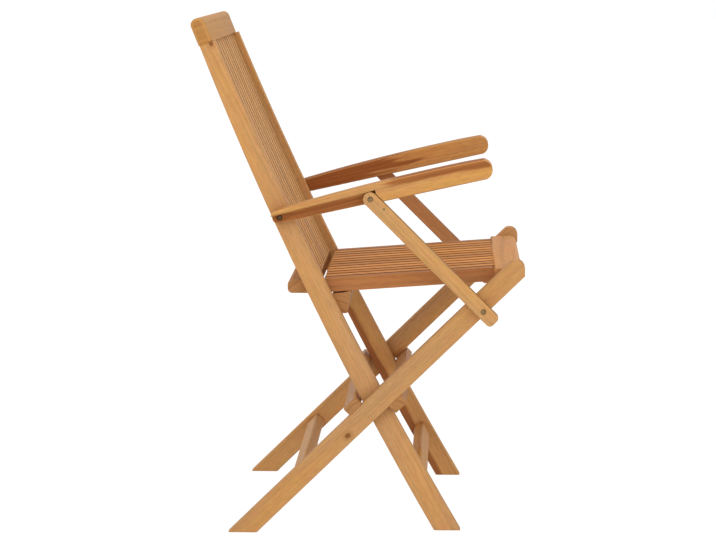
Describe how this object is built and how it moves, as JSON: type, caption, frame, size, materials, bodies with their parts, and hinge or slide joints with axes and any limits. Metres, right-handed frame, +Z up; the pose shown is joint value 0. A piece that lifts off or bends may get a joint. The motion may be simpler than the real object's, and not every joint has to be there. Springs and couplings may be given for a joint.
{
  "type": "folding slatted armchair",
  "caption": "Folding teak garden armchair with a slatted seat and back, crossed legs and armrests on folding braces.",
  "frame": {"origin": "on the floor, below the middle of the chair's bounding box", "axes": "+X towards the sitter's front, +Y to the sitter's left, +Z up"},
  "size_m": [0.5712, 0.55, 0.8899],
  "materials": {
    "armrest_teak": "matte oiled",
    "back_slat_teak": "matte oiled",
    "batten_teak": "matte oiled",
    "brace_teak": "matte oiled",
    "brass": "satin",
    "leg_teak": "matte oiled",
    "post_teak": "matte oiled",
    "rail_teak": "matte oiled",
    "seat_slat_teak": "matte oiled",
    "steel": "satin"
  },
  "bodies": {
    "back_frame": {"right_post": "post_teak", "left_post": "post_teak", "top_rail": "rail_teak", "back_bottom_rail": "rail_teak", "seat_support_rail": "rail_teak", "front_stretcher": "leg_teak", "back_slat_01": "back_slat_teak", "back_slat_02": "back_slat_teak", "back_slat_03": "back_slat_teak", "back_slat_04": "back_slat_teak", "back_slat_05": "back_slat_teak", "back_slat_06": "back_slat_teak", "back_slat_07": "back_slat_teak", "back_slat_08": "back_slat_teak", "back_slat_09": "back_slat_teak", "back_slat_10": "back_slat_teak", "back_slat_11": "back_slat_teak", "back_slat_12": "back_slat_teak", "crossing_pins": "steel", "crossing_washers": "steel", "armrest_washers": "steel", "armrest_pivot_bolts": "steel"},
    "rear_leg_frame": {"right_rear_leg": "leg_teak", "left_rear_leg": "leg_teak", "rear_stretcher": "leg_teak", "upper_stop_batten": "batten_teak", "lower_stop_batten": "batten_teak", "seat_hinge_pins": "steel", "brace_foot_inserts": "brass"},
    "seat": {"seat_front_rail": "rail_teak", "right_seat_rail": "rail_teak", "left_seat_rail": "rail_teak", "seat_front_batten": "batten_teak", "seat_rear_batten": "batten_teak", "seat_slat_01": "seat_slat_teak", "seat_slat_02": "seat_slat_teak", "seat_slat_03": "seat_slat_teak", "seat_slat_04": "seat_slat_teak", "seat_slat_05": "seat_slat_teak", "seat_slat_06": "seat_slat_teak", "seat_slat_07": "seat_slat_teak", "seat_slat_08": "seat_slat_teak", "seat_slat_09": "seat_slat_teak", "seat_slat_10": "seat_slat_teak", "seat_slat_11": "seat_slat_teak"},
    "right_armrest": {"right_armrest": "armrest_teak", "right_brace_top_bolt": "steel"},
    "right_brace": {"right_arm_brace": "brace_teak", "right_brace_foot_bolt": "steel"},
    "left_armrest": {"left_armrest": "armrest_teak", "left_brace_top_bolt": "steel"},
    "left_brace": {"left_arm_brace": "brace_teak", "left_brace_foot_bolt": "steel"}
  },
  "joints": [
    {"name": "leg_fold", "type": "hinge", "parent": "back_frame", "child": "rear_leg_frame", "pos_m": [0.0292, 0, 0.2257], "axis": [0, -1, 0], "range_deg": [0, 62]},
    {"name": "seat_hinge", "type": "hinge", "parent": "rear_leg_frame", "child": "seat", "pos_m": [0.26238, 0, 0.45246], "axis": [0, -1, 0], "range_deg": [-125.87, 0]},
    {"name": "right_armrest_pivot", "type": "hinge", "parent": "back_frame", "child": "right_armrest", "pos_m": [-0.13385, -0.245, 0.55101], "axis": [0, -1, 0], "range_deg": [0, 89.29]},
    {"name": "right_brace_pivot", "type": "hinge", "parent": "right_armrest", "child": "right_brace", "pos_m": [0.02212, -0.245, 0.58446], "axis": [0, -1, 0], "range_deg": [-107.58, 0]},
    {"name": "left_armrest_pivot", "type": "hinge", "parent": "back_frame", "child": "left_armrest", "pos_m": [-0.13385, 0.245, 0.55101], "axis": [0, -1, 0], "range_deg": [0, 89.29]},
    {"name": "left_brace_pivot", "type": "hinge", "parent": "left_armrest", "child": "left_brace", "pos_m": [0.02212, 0.245, 0.58446], "axis": [0, -1, 0], "range_deg": [-107.58, 0]}
  ],
  "couplings": [
    {"joint": "seat_hinge", "follows": "leg_fold", "ratio": -2.03},
    {"joint": "right_armrest_pivot", "follows": "leg_fold", "ratio": 1.44},
    {"joint": "right_brace_pivot", "follows": "leg_fold", "ratio": -1.735},
    {"joint": "left_armrest_pivot", "follows": "leg_fold", "ratio": 1.44},
    {"joint": "left_brace_pivot", "follows": "leg_fold", "ratio": -1.735}
  ]
}
